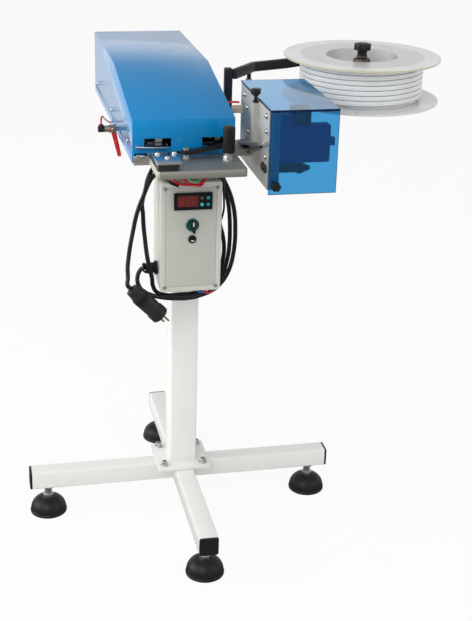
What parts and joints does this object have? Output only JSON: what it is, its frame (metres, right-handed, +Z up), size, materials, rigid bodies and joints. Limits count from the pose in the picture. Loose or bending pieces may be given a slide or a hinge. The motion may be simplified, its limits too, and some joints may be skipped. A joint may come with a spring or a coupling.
{
  "type": "bag clipper",
  "caption": "Free-standing pneumatic bag closer: blue closing head on a column with cross feet, control box, band feeder under a clear guard and a band reel.",
  "frame": {"origin": "on the floor under the middle of the machine's bounding box, without the mains lead and plug", "axes": "+Z up, -Y towards the operator, +X to the operator's right, the side of the band feeder and reel"},
  "size_m": [0.889, 0.826, 1.0178],
  "materials": {
    "white_paint": "powder coat, satin",
    "black_plastic": "fine matt",
    "zinc": "zinc plated",
    "machined_steel": "milled and ground",
    "bright_steel": "polished",
    "blue_paint": "powder coat, semi-gloss",
    "box_plastic": "fine texture",
    "black_paint": "semi-gloss",
    "teal_plastic": "glossy",
    "key_plastic": "satin",
    "pale_plastic": "glossy",
    "nickelled_brass": "nickel plated",
    "red_paint": "glossy",
    "blue_acrylic": "clear, polished",
    "motor_paint": "satin",
    "aluminium": "anodised",
    "spool_plastic": "translucent",
    "core_board": "matt",
    "band_plastic": "satin",
    "lead_rubber": "satin"
  },
  "bodies": {
    "stand": {"cross_beam": "white_paint", "front_leg": "white_paint", "rear_leg": "white_paint", "left_end_cap": "black_plastic", "right_end_cap": "black_plastic", "front_end_cap": "black_plastic", "rear_end_cap": "black_plastic", "column": "white_paint", "control_box": "box_plastic", "box_lid": "box_plastic", "temperature_controller": "black_plastic", "selector_ring": "teal_plastic", "button_ring": "black_plastic", "cable_gland": "black_plastic", "mains_lead": "lead_rubber", "mains_plug": "lead_rubber", "bed_plate": "machined_steel", "base_tray": "blue_paint", "head_cover": "blue_paint", "closing_cylinder": "aluminium", "upper_finger": "bright_steel", "lower_finger": "bright_steel", "guide_block": "machined_steel", "clamp_plate": "bright_steel", "pivot_bolt": "zinc", "grip_stud": "zinc", "air_valve": "nickelled_brass", "feeder_side_plate": "machined_steel", "feed_motor": "motor_paint", "reel_post": "black_paint", "reel_arm": "black_paint", "reel_spindle": "bright_steel"},
    "left_foot": {"left_foot_pad": "black_plastic", "left_foot_stud": "zinc"},
    "right_foot": {"right_foot_pad": "black_plastic", "right_foot_stud": "zinc"},
    "front_foot": {"front_foot_pad": "black_plastic", "front_foot_stud": "zinc"},
    "rear_foot": {"rear_foot_pad": "black_plastic", "rear_foot_stud": "zinc"},
    "set_key": {"set_key": "key_plastic"},
    "up_key": {"up_key": "key_plastic"},
    "shift_key": {"shift_key": "key_plastic"},
    "down_key": {"down_key": "key_plastic"},
    "selector": {"selector_knob": "black_plastic"},
    "button": {"push_button": "pale_plastic"},
    "trigger": {"trigger_lever": "black_paint"},
    "grip": {"grip_sleeve": "black_plastic"},
    "ram": {"closing_ram": "bright_steel"},
    "valve_lever": {"air_valve_lever": "red_paint"},
    "guard": {"feeder_guard": "blue_acrylic"},
    "guard_knob": {"guard_knob": "black_plastic"},
    "tension_knob": {"tension_knob": "black_plastic"},
    "feed_roller": {"feed_roller": "black_plastic"},
    "pinch_roller": {"pinch_roller": "black_plastic"},
    "reel": {"spool_lower_flange": "spool_plastic", "spool_upper_flange": "spool_plastic", "spool_core": "core_board", "band_winding": "band_plastic"},
    "reel_knob": {"reel_knob": "black_plastic"}
  },
  "joints": [
    {"name": "left_foot_level", "type": "slide", "parent": "stand", "child": "left_foot", "axis": [0, 0, -1], "range_m": [-0.008, 0.015]},
    {"name": "right_foot_level", "type": "slide", "parent": "stand", "child": "right_foot", "axis": [0, 0, -1], "range_m": [-0.008, 0.015]},
    {"name": "front_foot_level", "type": "slide", "parent": "stand", "child": "front_foot", "axis": [0, 0, -1], "range_m": [-0.008, 0.015]},
    {"name": "rear_foot_level", "type": "slide", "parent": "stand", "child": "rear_foot", "axis": [0, 0, -1], "range_m": [-0.008, 0.015]},
    {"name": "set_key_press", "type": "slide", "parent": "stand", "child": "set_key", "axis": [0, 1, 0], "range_m": [0, 0.0008], "stiffness_N_per_m": 400, "springref_m": -0.001},
    {"name": "up_key_press", "type": "slide", "parent": "stand", "child": "up_key", "axis": [0, 1, 0], "range_m": [0, 0.0008], "stiffness_N_per_m": 400, "springref_m": -0.001},
    {"name": "shift_key_press", "type": "slide", "parent": "stand", "child": "shift_key", "axis": [0, 1, 0], "range_m": [0, 0.0008], "stiffness_N_per_m": 400, "springref_m": -0.001},
    {"name": "down_key_press", "type": "slide", "parent": "stand", "child": "down_key", "axis": [0, 1, 0], "range_m": [0, 0.0008], "stiffness_N_per_m": 400, "springref_m": -0.001},
    {"name": "selector_turn", "type": "hinge", "parent": "stand", "child": "selector", "pos_m": [-0.112, -0.1941, 0.696], "axis": [0, 1, 0], "range_deg": [-45, 45]},
    {"name": "button_press", "type": "slide", "parent": "stand", "child": "button", "axis": [0, 1, 0], "range_m": [0, 0.002], "stiffness_N_per_m": 400, "springref_m": -0.002},
    {"name": "trigger_pull", "type": "hinge", "parent": "stand", "child": "trigger", "pos_m": [-0.1345, -0.239, 0.8556], "axis": [0, 0, 1], "range_deg": [-10, 0], "stiffness_Nm_per_rad": 0.5, "springref_deg": 2.86},
    {"name": "grip_spin", "type": "hinge", "parent": "stand", "child": "grip", "pos_m": [-0.057, -0.263, 0.8631], "axis": [0, 0, 1], "continuous": true},
    {"name": "ram_stroke", "type": "slide", "parent": "stand", "child": "ram", "axis": [0, -1, 0], "range_m": [0, 0.025]},
    {"name": "valve_lever_turn", "type": "hinge", "parent": "stand", "child": "valve_lever", "pos_m": [-0.2458, -0.0068, 0.8455], "axis": [0, 1, 0], "range_deg": [0, 90]},
    {"name": "guard_slide", "type": "slide", "parent": "stand", "child": "guard", "axis": [0, -1, 0], "range_m": [0, 0.2]},
    {"name": "guard_knob_turn", "type": "hinge", "parent": "guard", "child": "guard_knob", "pos_m": [0.0145, -0.349, 0.82], "axis": [0, 1, 0], "continuous": true},
    {"name": "tension_knob_turn", "type": "hinge", "parent": "stand", "child": "tension_knob", "pos_m": [-0.004, -0.247, 0.9553], "axis": [0, 0, 1], "continuous": true},
    {"name": "feed_roller_spin", "type": "hinge", "parent": "stand", "child": "feed_roller", "pos_m": [0.0085, -0.323, 0.846], "axis": [1, 0, 0], "continuous": true},
    {"name": "pinch_roller_spin", "type": "hinge", "parent": "stand", "child": "pinch_roller", "pos_m": [0.0085, -0.305, 0.846], "axis": [1, 0, 0], "continuous": true},
    {"name": "reel_spin", "type": "hinge", "parent": "stand", "child": "reel", "pos_m": [0.2795, -0.013, 0.902], "axis": [0, 0, 1], "continuous": true},
    {"name": "reel_knob_turn", "type": "hinge", "parent": "stand", "child": "reel_knob", "pos_m": [0.2795, -0.013, 1], "axis": [0, 0, 1], "continuous": true}
  ],
  "couplings": [
    {"joint": "pinch_roller_spin", "follows": "feed_roller_spin", "ratio": -1}
  ]
}
